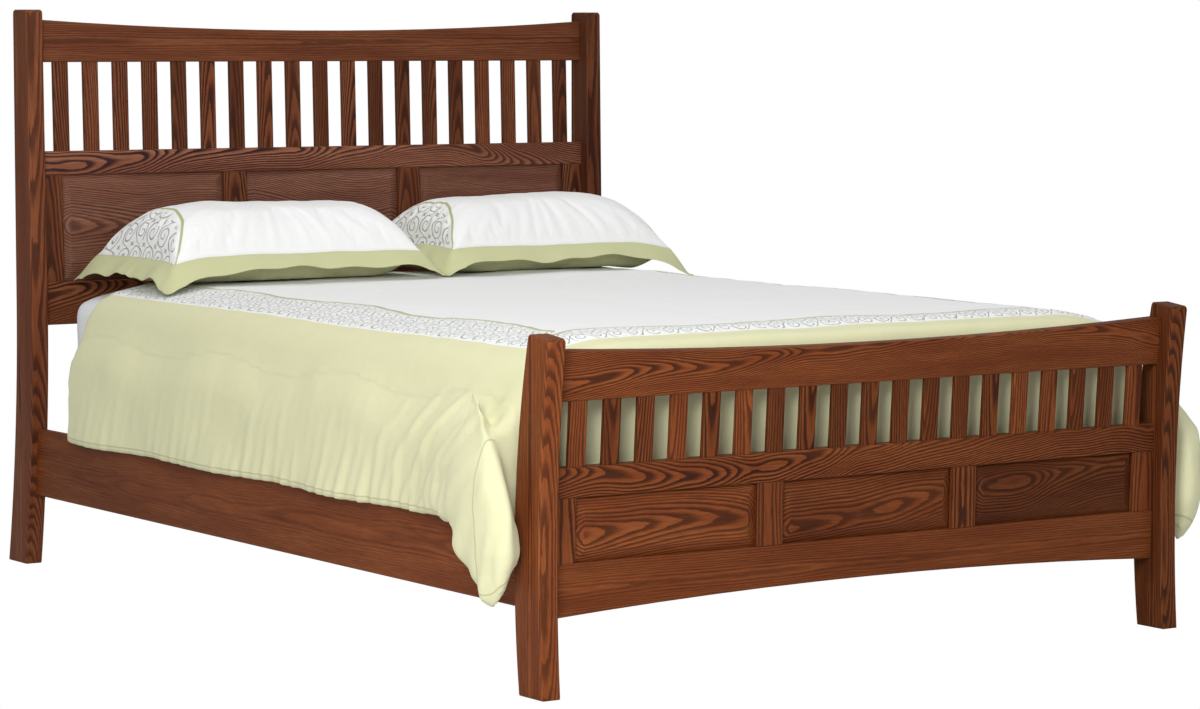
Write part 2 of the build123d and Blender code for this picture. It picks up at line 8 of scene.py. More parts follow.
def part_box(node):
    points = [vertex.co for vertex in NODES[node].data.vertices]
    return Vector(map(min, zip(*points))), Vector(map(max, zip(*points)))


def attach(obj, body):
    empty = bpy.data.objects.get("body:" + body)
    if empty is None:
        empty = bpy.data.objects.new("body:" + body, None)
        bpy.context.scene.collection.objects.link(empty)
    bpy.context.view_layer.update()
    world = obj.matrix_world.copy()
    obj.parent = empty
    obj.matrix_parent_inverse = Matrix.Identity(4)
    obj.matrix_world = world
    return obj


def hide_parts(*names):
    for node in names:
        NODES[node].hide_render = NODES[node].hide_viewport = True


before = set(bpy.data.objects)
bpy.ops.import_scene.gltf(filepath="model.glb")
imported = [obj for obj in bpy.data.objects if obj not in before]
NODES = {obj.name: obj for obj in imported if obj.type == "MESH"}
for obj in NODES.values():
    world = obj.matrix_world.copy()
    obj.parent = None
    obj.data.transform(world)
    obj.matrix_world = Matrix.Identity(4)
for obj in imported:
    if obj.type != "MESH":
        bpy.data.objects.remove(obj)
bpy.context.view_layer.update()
scene = bpy.context.scene


# Shader building

class Net:
    """Builds a node tree from short calls. Each call returns an output socket."""

    def __init__(self, tree):
        self.tree = tree

    def node(self, kind, out=0, props=None, **inputs):
        n = self.tree.nodes.new("ShaderNode" + kind)
        for k, v in (props or {}).items():
            setattr(n, k, v)
        for k, v in inputs.items():
            self.plug(n.inputs[int(k[1:]) if k[0] == "i" and k[1:].isdigit() else k.replace("_", " ")], v)
        return n.outputs[out]

    def plug(self, socket, v):
        if isinstance(v, bpy.types.NodeSocket):
            self.tree.links.new(v, socket)
        elif socket.type == "RGBA" and len(v) == 3:
            socket.default_value = (*v, 1)
        else:
            socket.default_value = v

    def math(self, op, a, b=0.0):
        return self.node("Math", props={"operation": op}, i0=a, i1=b)

    def add(self, a, b):
        return self.math("ADD", a, b)

    def sub(self, a, b):
        return self.math("SUBTRACT", a, b)

    def mul(self, a, b):
        return self.math("MULTIPLY", a, b)

    def xyz(self, v):
        n = self.tree.nodes.new("ShaderNodeSeparateXYZ")
        self.plug(n.inputs[0], v)
        return n.outputs[0], n.outputs[1], n.outputs[2]

    def vec(self, x, y, z):
        return self.node("CombineXYZ", i0=x, i1=y, i2=z)

    def noise(self, vector, scale, detail=2.0, rough=0.5):
        return self.node("TexNoise", Vector=vector, Scale=scale, Detail=detail, Roughness=rough)

    def remap(self, v, a, b, lo=0.0, hi=1.0, smooth=True):
        props = {"interpolation_type": "SMOOTHSTEP" if smooth else "LINEAR"}
        return self.node("MapRange", props=props, i0=v, i1=a, i2=b, i3=lo, i4=hi)

    def mix(self, fac, a, b, blend="MIX"):
        n = self.tree.nodes.new("ShaderNodeMix")
        n.data_type = "RGBA"
        n.blend_type = blend
        self.plug(n.inputs[0], fac)
        self.plug(n.inputs[6], a)
        self.plug(n.inputs[7], b)
        return n.outputs[2]

    def ramp(self, fac, stops):
        n = self.tree.nodes.new("ShaderNodeValToRGB")
        e = n.color_ramp.elements
        while len(e) < len(stops):
            e.new(0.5)
        for el, (pos, col) in zip(e, stops):
            el.position = pos
            el.color = (*col, 1)
        self.plug(n.inputs[0], fac)
        return n.outputs[0]

    def bump(self, height, strength, distance, normal=None):
        extra = {"Normal": normal} if normal is not None else {}
        return self.node("Bump", Height=height, Strength=strength, Distance=distance, **extra)


def material(name):
    m = bpy.data.materials.new(name)
    m.use_nodes = True
    net = Net(m.node_tree)
    return m, net, m.node_tree.nodes["Principled BSDF"]


# Stained oak

OAK_LIGHT = (0.232, 0.067, 0.0185)
OAK_WARM = (0.162, 0.040, 0.0105)
OAK_DEEP = (0.022, 0.0065, 0.0035)      # the dark part of a growth ring
OAK_FIBRE = (0.085, 0.021, 0.0075)
OAK_PORE = (0.014, 0.0045, 0.0028)
OAK_WEAR_AND_HIGHLIGHT = (0.27, 0.090, 0.033)         # where the stain is rubbed thin, with painted highlight along the edges
EASED_EDGE = 0.0032
SLAT_PITCH = 0.08
FIRST_SLAT_X = -0.72                    # middle of the leftmost slat


def oak(name, along, across, centre, depth_at, seed, ring=0.0042, pith=0.05, drift=0.02,
        wander=0.02, tone=1.0, dark=1.0, slats=False, cool=0.0, fade=0.0):
    """Oak with growth rings cut by the board's face. along, across and the third axis are row axes."""
    m, net, bsdf = material(name)
    x, y, z = net.xyz(net.node("TexCoord", out=3))
    axes = {"x": x, "y": y, "z": z}
    depth = [a for a in "xyz" if a not in (along, across)][0]
    L, W, T = axes[along], axes[across], axes[depth]
    shift = seed * 3.71

    def chance(w):
        return net.node("TexWhiteNoise", out=0, props={"noise_dimensions": "1D"}, W=w)

    def toned(colour):
        return tuple(c * tone for c in colour)

    if slats:
        index = net.math("FLOOR", net.math("DIVIDE", net.add(x, SLAT_PITCH / 2 - FIRST_SLAT_X), SLAT_PITCH))
        rand = chance(net.add(index, seed * 11.3))
        rand2 = chance(net.add(index, seed * 5.1 + 40))
        L = net.add(L, net.mul(rand, 7.0))
        W = net.sub(W, net.add(net.mul(index, SLAT_PITCH), FIRST_SLAT_X))
        W = net.add(W, net.mul(net.sub(rand2, 0.5), 0.09))
    else:
        W = net.sub(W, centre)
    T = net.sub(T, depth_at)

    def drawn_out(lengthways, crossways, detail, rough=0.5):
        """Noise drawn out along the board."""
        at = net.vec(net.mul(L, lengthways), net.mul(W, crossways), net.add(net.mul(T, crossways), shift))
        return net.noise(at, 1.0, detail, rough)

    # low waves of the trunk move the rings about the board
    slow = net.noise(net.vec(L, seed * 1.37, shift), 1.6, 1.0)
    slow2 = net.noise(net.vec(L, shift, seed * 2.9), 3.7, 1.0)
    W2 = net.add(W, net.mul(net.sub(slow, 0.5), wander * 4))
    T2 = net.add(T, pith)
    r = net.math("SQRT", net.add(net.mul(W2, W2), net.mul(T2, T2)))
    r = net.add(r, net.mul(L, drift))
    r = net.add(r, net.mul(net.sub(slow2, 0.5), wander))
    r = net.add(r, net.mul(net.sub(drawn_out(16.0, 95.0, 3.0, 0.6), 0.5), ring * 0.60))
    uneven = net.noise(net.vec(net.mul(r, 45.0), shift, 0.3), 1.0, 1.0)
    phase = net.math("FRACT", net.add(net.math("DIVIDE", r, ring), net.mul(uneven, 2.2)))
    line = net.math("MINIMUM", net.remap(phase, 0.0, 0.08), net.remap(phase, 0.26, 0.74, 1.0, 0.0))
    # fibres and open pores
    fibre = drawn_out(18.0, 520.0, 3.0, 0.6)
    pore = net.remap(drawn_out(55.0, 1400.0, 1.0), 0.60, 0.72)
    broad = drawn_out(2.2, 22.0, 2.0)
    patches = net.noise(net.vec(net.mul(L, 1.1), net.mul(W, 9.0), shift + 3.0), 1.0, 1.0)
    strength = net.remap(patches, 0.3, 0.7, 0.70, 1.0)
    line = net.mul(net.mul(line, strength), dark)
    pores_here = net.mul(pore, net.add(net.mul(line, 0.8), 0.2))
    base = net.mix(net.remap(broad, 0.3, 0.72), toned(OAK_LIGHT), toned(OAK_WARM))
    base = net.mix(net.mul(net.remap(fibre, 0.35, 0.7), 0.55), base, toned(OAK_FIBRE))
    colour = net.mix(net.mul(line, 0.86), base, toned(OAK_DEEP))
    colour = net.mix(net.mul(pores_here, 0.7), colour, toned(OAK_PORE))
    if slats:
        level = net.add(net.mul(rand, 0.62), 0.66)
        level = net.vec(level, net.mul(level, 0.98), net.mul(level, 0.96))
        colour = net.mix(1.0, colour, level, "MULTIPLY")
    # Painted shade: the colour falls off along the board, lighter at its left or foot end and darker at its right
    # or head end, as the light falls off from the foot-left.
    if fade:
        level = net.remap(axes[along], -1.0, 1.0, 1.0 + fade, 1.0 - fade, smooth=False)
        colour = net.mix(1.0, colour, net.vec(level, level, level), "MULTIPLY")
    if cool:
        cast = (1.0 + 0.28 * cool, 1.0 + 0.95 * cool, 1.0 + 3.2 * cool)
        colour = net.mix(1.0, colour, cast, "MULTIPLY")
    # eased edges: lighter where the stain is rubbed thin, and painted highlight along every edge
    soft = net.node("Bevel", props={"samples": 4}, Radius=EASED_EDGE)
    flat = net.node("NewGeometry", out=3)
    bend = net.sub(1.0, net.node("VectorMath", out=1, props={"operation": "DOT_PRODUCT"}, i0=soft, i1=flat))
    rub = net.noise(net.vec(net.mul(x, 26.0), net.mul(y, 26.0), net.add(net.mul(z, 26.0), shift)), 1.0, 2.0)
    edge = net.mul(net.remap(bend, 0.02, 0.14), net.remap(rub, 0.28, 0.62, 0.25, 1.0))
    colour = net.mix(net.mul(edge, 0.45), colour, toned(OAK_WEAR_AND_HIGHLIGHT))
    net.plug(bsdf.inputs["Base Color"], colour)
    rough = net.add(net.mul(fibre, 0.16), net.add(net.mul(pores_here, 0.2), 0.33))
    net.plug(bsdf.inputs["Roughness"], rough)
    net.plug(bsdf.inputs["Specular IOR Level"], 0.08)
    height = net.sub(net.mul(fibre, 0.35), net.add(net.mul(pores_here, 0.9), net.mul(line, 0.25)))
    net.plug(bsdf.inputs["Normal"], net.bump(height, 0.28, 0.0006, soft))
    return m


def put(node, mat):
    o = NODES[node]
    o.data.materials.clear()
    o.data.materials.append(mat)
    return o


def middle(node):
    lo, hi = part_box(node)
    return (lo + hi) / 2


# Painted light and shade: the left posts are painted lighter and the right posts darker, as the light falls from
# the left.
POST_PAINTED_LIGHT = {"left": 1.30, "right": 0.84}


def cut(along, across, ring, pith, drift, wander, tone, dark=1.0, **extra):
    """One board's cut: its axes and its values for oak()."""
    return along, across, dict(ring=ring, pith=pith, drift=drift, wander=wander, tone=tone, dark=dark, **extra)


def dress_wood():
    """Gives each wooden node its own cut of oak."""
    plan = {
        "head_top_rail": cut("x", "z", 0.0040, 0.030, 0.006, 0.006, 0.92, 0.6),
        "head_mid_rail": cut("x", "z", 0.0046, 0.045, 0.085, 0.055, 1.20, 1.15),
        "head_bottom_rail": cut("x", "z", 0.0046, 0.045, 0.080, 0.050, 1.05, 1.1),
        "foot_top_rail": cut("x", "z", 0.0034, 0.035, 0.050, 0.040, 1.15, 1.05, fade=0.10),
        "foot_mid_rail": cut("x", "z", 0.0046, 0.045, 0.095, 0.060, 1.05, 1.15, fade=0.10),
        "foot_bottom_rail": cut("x", "z", 0.0042, 0.030, 0.006, 0.006, 1.0, 0.6, fade=0.10),
        "head_panel_left": cut("x", "z", 0.0050, 0.050, 0.055, 0.045, 0.95, 0.85),
        "head_panel_centre": cut("x", "z", 0.0052, 0.055, 0.050, 0.045, 0.97, 0.85),
        "head_panel_right": cut("x", "z", 0.0048, 0.050, 0.040, 0.040, 0.90, 0.8),
        # The foot panels' tones fall from left to right: painted shade of the light falling off to the right.
        "foot_panel_left": cut("x", "z", 0.0052, 0.050, 0.060, 0.050, 1.15, 0.85),
        "foot_panel_centre": cut("x", "z", 0.0052, 0.050, 0.060, 0.045, 0.92, 0.9),
        "foot_panel_right": cut("x", "z", 0.0050, 0.045, 0.055, 0.045, 0.62, 0.9),
        "side_rail_left": cut("y", "z", 0.0044, 0.050, 0.012, 0.016, 1.10, 0.4, fade=0.13),
        "side_rail_right": cut("y", "z", 0.0044, 0.050, 0.012, 0.016, 1.0, 0.4),
    }
    for end, tone in (("head", 0.84), ("foot", 0.98)):
        for word in ("end_stile_left", "stile_left", "stile_right", "end_stile_right"):
            plan[end + "_" + word] = cut("z", "x", 0.006, 0.04, 0.03, 0.018, tone)
        for word in ("left", "right"):
            plan[end + "_post_" + word] = cut("z", "y", 0.0042, 0.012, 0.004, 0.006, tone * POST_PAINTED_LIGHT[word], 0.85)
        plan[end + "_slats"] = cut("z", "x", 0.0052, 0.03, 0.02, 0.016, tone, slats=True)
    for i, (node, (along, across, extra)) in enumerate(sorted(plan.items())):
        c = middle(node)
        depth = [a for a in "xyz" if a not in (along, across)][0]
        if node.startswith("head"):
            extra["cool"] = 1.0 if "panel" in node else 0.7 if "mid_rail" in node else 0.25
        put(node, oak("oak_" + node, along, across, getattr(c, across), getattr(c, depth), i + 1.0, **extra))
    plain = softwood()
    for node in NODES:
        if node.startswith(("ledger", "cross_slat")):
            put(node, plain)
    metal = zinc()
    for node in ("rail_hook_plates", "post_socket_plates"):
        put(node, metal)


def softwood():
    """Pale, plain-sawn wood of the hidden ledgers and cross slats."""
    m, net, bsdf = material("pale_softwood")
    x, y, z = net.xyz(net.node("TexCoord", out=3))
    grain = net.noise(net.vec(net.mul(x, 2.0), net.mul(y, 90.0), net.mul(z, 90.0)), 1.0, 4.0)
    knots = net.noise(net.vec(net.mul(x, 3.0), net.mul(y, 12.0), net.mul(z, 12.0)), 1.0, 1.0)
    stops = [(0.3, (0.55, 0.36, 0.19)), (0.55, (0.68, 0.49, 0.29)), (0.8, (0.42, 0.26, 0.13))]
    colour = net.ramp(grain, stops)
    colour = net.mix(net.remap(knots, 0.66, 0.78), colour, (0.30, 0.16, 0.07))
    net.plug(bsdf.inputs["Base Color"], colour)
    net.plug(bsdf.inputs["Roughness"], 0.62)
    net.plug(bsdf.inputs["Normal"], net.bump(grain, 0.2, 0.0008))
    return m


def zinc():
    """Zinc-plated steel of the rail fasteners."""
    m, net, bsdf = material("zinc_steel")
    p = net.node("TexCoord", out=3)
    spangle = net.noise(p, 300.0, 2.0)
    net.plug(bsdf.inputs["Base Color"], net.ramp(spangle, [(0.3, (0.45, 0.46, 0.48)), (0.7, (0.62, 0.63, 0.64))]))
    net.plug(bsdf.inputs["Metallic"], 1.0)
    net.plug(bsdf.inputs["Roughness"], net.remap(spangle, 0.2, 0.8, 0.28, 0.48))
    return m


# Stage

def white_stage():
    """Pale floor and world that the camera sees as plain white."""
    world = bpy.data.worlds.new("studio")
    scene.world = world
    world.use_nodes = True
    net = Net(world.node_tree)
    bg = world.node_tree.nodes["Background"]
    seen = net.node("LightPath", out=0)
    up = net.xyz(net.node("TexCoord", out=0))[2]
    glow = net.remap(up, -0.2, 0.9, 0.25, 0.47)
    net.plug(bg.inputs["Color"], (1, 1, 1))
    net.plug(bg.inputs["Strength"], net.math("MAXIMUM", seen, glow))
    me = bpy.data.meshes.new("floor")
    me.from_pydata([(-9, -11, 0), (9, -11, 0), (9, 9, 0), (-9, 9, 0)], [], [(0, 1, 2, 3)])
    floor = bpy.data.objects.new("floor", me)
    scene.collection.objects.link(floor)
    m = bpy.data.materials.new("pale_floor")
    m.use_nodes = True
    net = Net(m.node_tree)
    m.node_tree.nodes.remove(m.node_tree.nodes["Principled BSDF"])
    seen = net.node("LightPath", out=0)
    pale = net.node("BsdfDiffuse", Color=(0.8, 0.8, 0.8))
    white = net.node("Emission", Color=(1, 1, 1), Strength=1.0)
    both = net.node("MixShader", i0=seen, i1=pale, i2=white)
    net.plug(m.node_tree.nodes["Material Output"].inputs["Surface"], both)
    me.materials.append(m)


def area_light(name, at, to, size, size_y, power):
    lamp = bpy.data.lights.new(name, "AREA")
    lamp.shape = "RECTANGLE"
    lamp.size = size
    lamp.size_y = size_y
    lamp.energy = power
    o = bpy.data.objects.new(name, lamp)
    scene.collection.objects.link(o)
    o.location = at
    o.rotation_euler = (Vector(to) - Vector(at)).to_track_quat("-Z", "Y").to_euler()


def lights():
    area_light("key", (-3.5, -3.8, 2.3), (-0.3, -0.4, 0.45), 1.6, 1.5, 150)
    area_light("front", (0.4, -6.0, 2.2), (-0.1, -1.0, 0.5), 3.0, 2.2, 50)
    area_light("top", (-0.3, 0.2, 4.2), (0.0, 0.0, 0.5), 4.0, 4.0, 48)


CAMERA_LENS = 114.274
CAMERA_TURN = (-34.3859, -4.9318, -0.1606)      # yaw, pitch and roll in degrees
CAMERA_AT = (-4.8223, -7.198754, 1.2953)


def camera():
    """The photograph's view."""
    cam = bpy.data.cameras.new("camera")
    cam.sensor_fit = "HORIZONTAL"
    cam.sensor_width = 36.0
    cam.lens = CAMERA_LENS
    cam.clip_end = 60
    o = bpy.data.objects.new("camera", cam)
    scene.collection.objects.link(o)
    yaw, pitch, roll = (math.radians(a) for a in CAMERA_TURN)
    turn = Matrix.Rotation(yaw, 4, "Z") @ Matrix.Rotation(pitch, 4, "X") @ Matrix.Rotation(roll, 4, "Y")
    turn = turn @ Matrix.Rotation(math.radians(90), 4, "X")
    o.matrix_world = Matrix.Translation(CAMERA_AT) @ turn
    scene.camera = o
    scene.view_settings.view_transform = "Standard"


# Meshes

FLOOR_Y = -1.16375            # row Y where the foot posts' outer faces meet the floor


def points(me):
    out = np.empty(len(me.vertices) * 3)
    me.vertices.foreach_get("co", out)
    return out.reshape(-1, 3)


def set_points(me, xyz):
    me.vertices.foreach_set("co", np.ascontiguousarray(xyz).ravel())
    me.update()


def step(v, a, b):
    """Smooth rise from 0 at a to 1 at b. It falls where b is below a."""
    t = np.clip((v - a) / (b - a), 0, 1)
    return t * t * (3 - 2 * t)


def ripple(*coords, seed=0, octaves=3):
    """Smooth, repeatable unevenness between about -1 and 1."""
    rng = np.random.default_rng(seed)
    total = 0.0
    for k in range(octaves * 4):
        turn = rng.normal(size=len(coords)) * 1.6 ** (k // 4)
        phase = rng.uniform(0, 6.28)
        total = total + np.sin(sum(c * t for c, t in zip(coords, turn)) * 2.2 + phase) / 1.5 ** (k // 4)
    return total / 6.0


def settle(o):
    """Keeps what the modifiers made as the piece's own mesh."""
    dep = bpy.context.evaluated_depsgraph_get()
    me = bpy.data.meshes.new_from_object(o.evaluated_get(dep))
    o.modifiers.clear()
    o.data = me


def soft_copy(node, name, voxel, rounds):
    """Fine, even mesh in the space of a soft CAD solid, with its corners softened."""
    bm = bmesh.new()
    bm.from_mesh(NODES[node].data)
    bmesh.ops.remove_doubles(bm, verts=bm.verts, dist=1e-5)
    me = bpy.data.meshes.new(name)
    bm.to_mesh(me)
    bm.free()
    me.materials.clear()
    o = bpy.data.objects.new(name, me)
    scene.collection.objects.link(o)
    remesh = o.modifiers.new("voxels", "REMESH")
    remesh.mode = "VOXEL"
    remesh.voxel_size = voxel
    soften = o.modifiers.new("soften", "SMOOTH")
    soften.factor = 0.5
    soften.iterations = rounds
    settle(o)
    o.data.shade_smooth()
    return o


def melt(o, weights, rounds):
    """Smooths the piece where the weights say so."""
    group = o.vertex_groups.new(name="melt")
    for i in np.nonzero(weights > 0.01)[0]:
        group.add([int(i)], float(weights[i]), "REPLACE")
    soften = o.modifiers.new("melt", "SMOOTH")
    soften.factor = 0.5
    soften.iterations = rounds
    soften.vertex_group = "melt"
    settle(o)


def keep_flat(o, flat):
    """Stores each point's place on the flat cloth, for the material."""
    at = o.data.attributes.new("flat", "FLOAT_VECTOR", "POINT")
    at.data.foreach_set("vector", np.ascontiguousarray(flat).ravel())


def swell(o, held, pressure, give, cap, frames=20):
    """Fills the piece with air for a moment. give is how much longer the cloth is cut than its place."""
    start = points(o.data)
    group = o.vertex_groups.new(name="held")
    group.add([int(i) for i in np.nonzero(held)[0]], 1.0, "REPLACE")
    cloth = o.modifiers.new("cloth", "CLOTH")
    cloth.collision_settings.use_collision = False
    cloth.point_cache.frame_start = 1
    cloth.point_cache.frame_end = frames
    set_up = cloth.settings
    set_up.quality = 6
    set_up.mass = 0.25
    set_up.tension_stiffness = 12
    set_up.compression_stiffness = 12
    set_up.shear_stiffness = 6
    set_up.bending_stiffness = 0.3
    set_up.use_pressure = True
    set_up.uniform_pressure_force = pressure
    set_up.shrink_min = -give
    set_up.effector_weights.gravity = 0
    set_up.vertex_group_mass = "held"
    for f in range(1, frames + 1):
        scene.frame_set(f)
    settle(o)
    scene.frame_set(1)
    move = points(o.data) - start
    length = np.linalg.norm(move, axis=1, keepdims=True)
    set_points(o.data, start + move * np.minimum(1, cap / np.maximum(length, 1e-9)))


# Cloth materials

def srgb(*levels):
    """Linear colour from the levels, 0 to 255, that it shows on a screen."""
    return tuple(((v / 255 + 0.055) / 1.055) ** 2.4 for v in levels)


SAGE = srgb(221, 220, 179)
FLANGE_SAGE = srgb(199, 200, 154)
WHITE = srgb(239, 240, 239)
THREAD = srgb(112, 118, 106)
LINE_SAGE = srgb(176, 180, 132)
BAND_EDGE_X = 0.735           # outer edge of the embroidered band, from the middle of the bed
BAND_EDGE_Y = 0.150           # the same at the foot, from the foot posts' floor line
BAND_WIDTH_SIDE = 0.128
BAND_WIDTH_FOOT = 0.088
BAND_WAVE = 0.014
BAND_WAVE_LENGTH = 0.52
BAND_CELL = 0.044
HEM_STITCH = 0.014            # from the hem up to its line of stitches
CORNER_SEAM = 0.105           # the cover's side seam on the corner folds, from the floor line


def scrolls(net, a, b, cell, thread=0.0012):
    """Embroidered curls, one in each square cell, turning left and right by turns, with leaves between."""
    ia = net.math("FLOOR", net.math("DIVIDE", a, cell))
    ib = net.math("FLOOR", net.math("DIVIDE", b, cell))
    la = net.sub(a, net.mul(net.add(ia, 0.5), cell))
    lb = net.sub(b, net.mul(net.add(ib, 0.5), cell))
    turn = net.sub(net.mul(net.math("FRACT", net.mul(net.add(ia, ib), 0.5)), 4.0), 1.0)
    chance = net.node("TexWhiteNoise", out=0, props={"noise_dimensions": "3D"}, Vector=net.vec(ia, ib, 0.5))
    r = net.math("SQRT", net.add(net.mul(la, la), net.mul(lb, lb)))
    angle = net.mul(net.math("ARCTAN2", net.mul(lb, turn), la), 1 / (2 * math.pi))
    pitch = cell * 0.27
    s = net.math("FRACT", net.add(net.sub(net.math("DIVIDE", r, pitch), angle), chance))
    away = net.mul(net.math("ABSOLUTE", net.sub(s, 0.5)), pitch)
    curl = net.remap(away, thread * 0.4, thread, 1.0, 0.0)
    curl = net.mul(curl, net.remap(r, cell * 0.46, cell * 0.49, 1.0, 0.0))
    gone = net.remap(net.math("FRACT", net.add(angle, net.mul(chance, 3.0))), 0.08, 0.12)
    outer = net.remap(r, cell * 0.28, cell * 0.32)
    curl = net.mul(curl, net.sub(1.0, net.mul(outer, net.sub(1.0, gone))))
    wave = net.math("SINE", net.mul(a, math.pi / cell))
    vine = net.math("ABSOLUTE", net.sub(lb, net.mul(wave, cell * 0.44)))
    vine = net.remap(vine, thread * 0.5, thread * 1.2, 1.0, 0.0)
    ca = net.sub(net.math("ABSOLUTE", la), cell * 0.5)
    cb = net.sub(net.math("ABSOLUTE", lb), cell * 0.5)
    long = net.math("DIVIDE", net.add(ca, cb), cell * 0.20)
    thin = net.math("DIVIDE", net.sub(ca, cb), cell * 0.07)
    leaf = net.remap(net.add(net.mul(long, long), net.mul(thin, thin)), 0.8, 1.1, 1.0, 0.0)
    return net.math("MAXIMUM", net.math("MAXIMUM", curl, vine), net.mul(leaf, 0.8))


def cloth(flat, colour, net, m, bsdf, creases):
    """Finishes a cloth material: woven, matt, softly creased."""
    slub = net.noise(flat, 55.0, 3.0, 0.6)
    weave = net.noise(flat, 1400.0, 1.0)
    crush = net.noise(flat, 9.0, 4.0, 0.62)
    shade = net.mix(net.mul(slub, 0.10), colour, (0.5, 0.5, 0.46), "MULTIPLY")
    net.plug(bsdf.inputs["Base Color"], shade)
    net.plug(bsdf.inputs["Roughness"], net.remap(weave, 0.2, 0.8, 0.78, 0.92))
    net.plug(bsdf.inputs["Specular IOR Level"], 0.25)
    net.plug(bsdf.inputs["Sheen Weight"], 0.12)
    net.plug(bsdf.inputs["Sheen Roughness"], 0.5)
    fine = net.bump(net.add(net.mul(weave, 0.6), slub), 0.25, 0.0006)
    net.plug(bsdf.inputs["Normal"], net.bump(crush, creases, 0.006, fine))
    return m


def comforter_material():
    m, net, bsdf = material("comforter_cotton")
    flat = net.node("Attribute", out=1, props={"attribute_name": "flat"})
    x, y, z = net.xyz(flat)
    across = net.math("ABSOLUTE", x)
    from_side = net.sub(BAND_EDGE_X, across)
    from_foot = net.sub(net.sub(y, FLOOR_Y), BAND_EDGE_Y)
    inside = net.math("MINIMUM", from_side, from_foot)
    at_foot = net.math("LESS_THAN", from_foot, from_side)
    along = net.add(net.mul(at_foot, x), net.mul(net.sub(1.0, at_foot), net.sub(y, FLOOR_Y)))
    swing = net.math("COSINE", net.mul(along, 2 * math.pi / BAND_WAVE_LENGTH))
    plain = net.add(net.mul(at_foot, BAND_WIDTH_FOOT - BAND_WIDTH_SIDE), BAND_WIDTH_SIDE)
    width = net.add(net.mul(swing, BAND_WAVE), plain)
    white = net.remap(inside, -0.0008, 0.0008)
    colour = net.mix(white, SAGE, WHITE)
    border = net.math("ABSOLUTE", net.sub(inside, width))
    colour = net.mix(net.remap(border, 0.0042, 0.0060, 1.0, 0.0), colour, LINE_SAGE)
    stitch = net.math("ABSOLUTE", net.sub(z, HEM_STITCH))
    stitch = net.remap(stitch, 0.0008, 0.0022, 1.0, 0.0)
    corner_seam = net.math("ABSOLUTE", net.sub(net.sub(y, FLOOR_Y), CORNER_SEAM))
    on_corner = net.math("GREATER_THAN", net.math("ABSOLUTE", net.xyz(net.node("TexCoord", out=3))[0]), 0.865)
    corner_seam = net.mul(net.remap(corner_seam, 0.0010, 0.0026, 1.0, 0.0), on_corner)
    colour = net.mix(net.mul(net.math("MAXIMUM", stitch, corner_seam), 0.45), colour, srgb(150, 150, 108))
    sewn = scrolls(net, net.sub(across, BAND_EDGE_X - 3 * BAND_CELL), from_foot, BAND_CELL, 0.0019)
    here = net.mul(net.remap(inside, 0.003, 0.006), net.remap(net.sub(width, inside), 0.004, 0.008))
    colour = net.mix(net.mul(net.mul(sewn, here), 0.75), colour, THREAD)
    return cloth(flat, colour, net, m, bsdf, 0.35)


END_CURVE_MIDDLE = 0.555      # middle of the oval that bounds the pillow's embroidery
END_CURVE_HALF_LENGTH = 0.300
END_CURVE_HALF_WIDTH = 0.290


def pillow_material():
    m, net, bsdf = material("pillow_cotton")
    flat = net.node("Attribute", out=1, props={"attribute_name": "flat"})
    a, b, top = net.xyz(flat)
    u = net.math("DIVIDE", net.sub(net.math("ABSOLUTE", a), END_CURVE_MIDDLE), END_CURVE_HALF_LENGTH)
    v = net.math("DIVIDE", b, END_CURVE_HALF_WIDTH)
    oval = net.math("SQRT", net.add(net.mul(u, u), net.mul(v, v)))
    sewn = net.mul(scrolls(net, a, b, 0.060, 0.0021), net.remap(oval, 0.93, 0.96, 1.0, 0.0))
    colour = net.mix(net.mul(sewn, 0.85), WHITE, THREAD)
    border = net.math("ABSOLUTE", net.sub(oval, 1.0))
    colour = net.mix(net.remap(border, 0.010, 0.016, 1.0, 0.0), colour, LINE_SAGE)
    colour = net.mix(net.remap(top, 0.45, 0.55), FLANGE_SAGE, colour)
    return cloth(flat, colour, net, m, bsdf, 0.4)


def sheet_material():
    m, net, bsdf = material("white_percale")
    point = net.node("TexCoord", out=3)
    return cloth(point, srgb(228, 230, 232), net, m, bsdf, 0.35)


def ticking_material():
    m, net, bsdf = material("striped_ticking")
    point = net.node("TexCoord", out=3)
    x, y, z = net.xyz(point)
    stripe = net.math("ABSOLUTE", net.sub(net.math("FRACT", net.mul(net.add(x, y), 1 / 0.024)), 0.5))
    colour = net.mix(net.remap(stripe, 0.05, 0.08, 1.0, 0.0), srgb(232, 229, 218), srgb(150, 160, 172))
    return cloth(point, colour, net, m, bsdf, 0.2)


# Bedding

CORNER_REACH_RIGHT = 0.038    # how far the corner folds swell past their CAD solid
CORNER_REACH_LEFT = 0.006
SHOULDER_DROP = 0.028         # how far the mattress and all on it fall away towards its long edges
DRAPE_X = 0.79                # past it, the comforter hangs down
DRAPE_REACH = 0.835           # outer face of the hanging comforter where it nears a corner fold
CORNER_SWELL = 0.072          # how much further out that face comes at the fold
DRAPE_CELL = 0.015


def shoulder(x):
    return SHOULDER_DROP * step(abs(x), 0.58, 0.80)


def hem_height(xyz, side):
    """Height of the comforter's lower edge along Y on one side, from its own lowest points."""
    there = xyz[:, 0] * side > 0.81
    y, z = xyz[there, 1], xyz[there, 2]
    places = np.arange(y.min(), y.max(), 0.012)
    low = np.array([z[abs(y - p) < 0.010].min() for p in places])
    wide = np.pad(low, 3, mode="edge")
    return places, np.convolve(wide, np.ones(7) / 7, mode="valid")


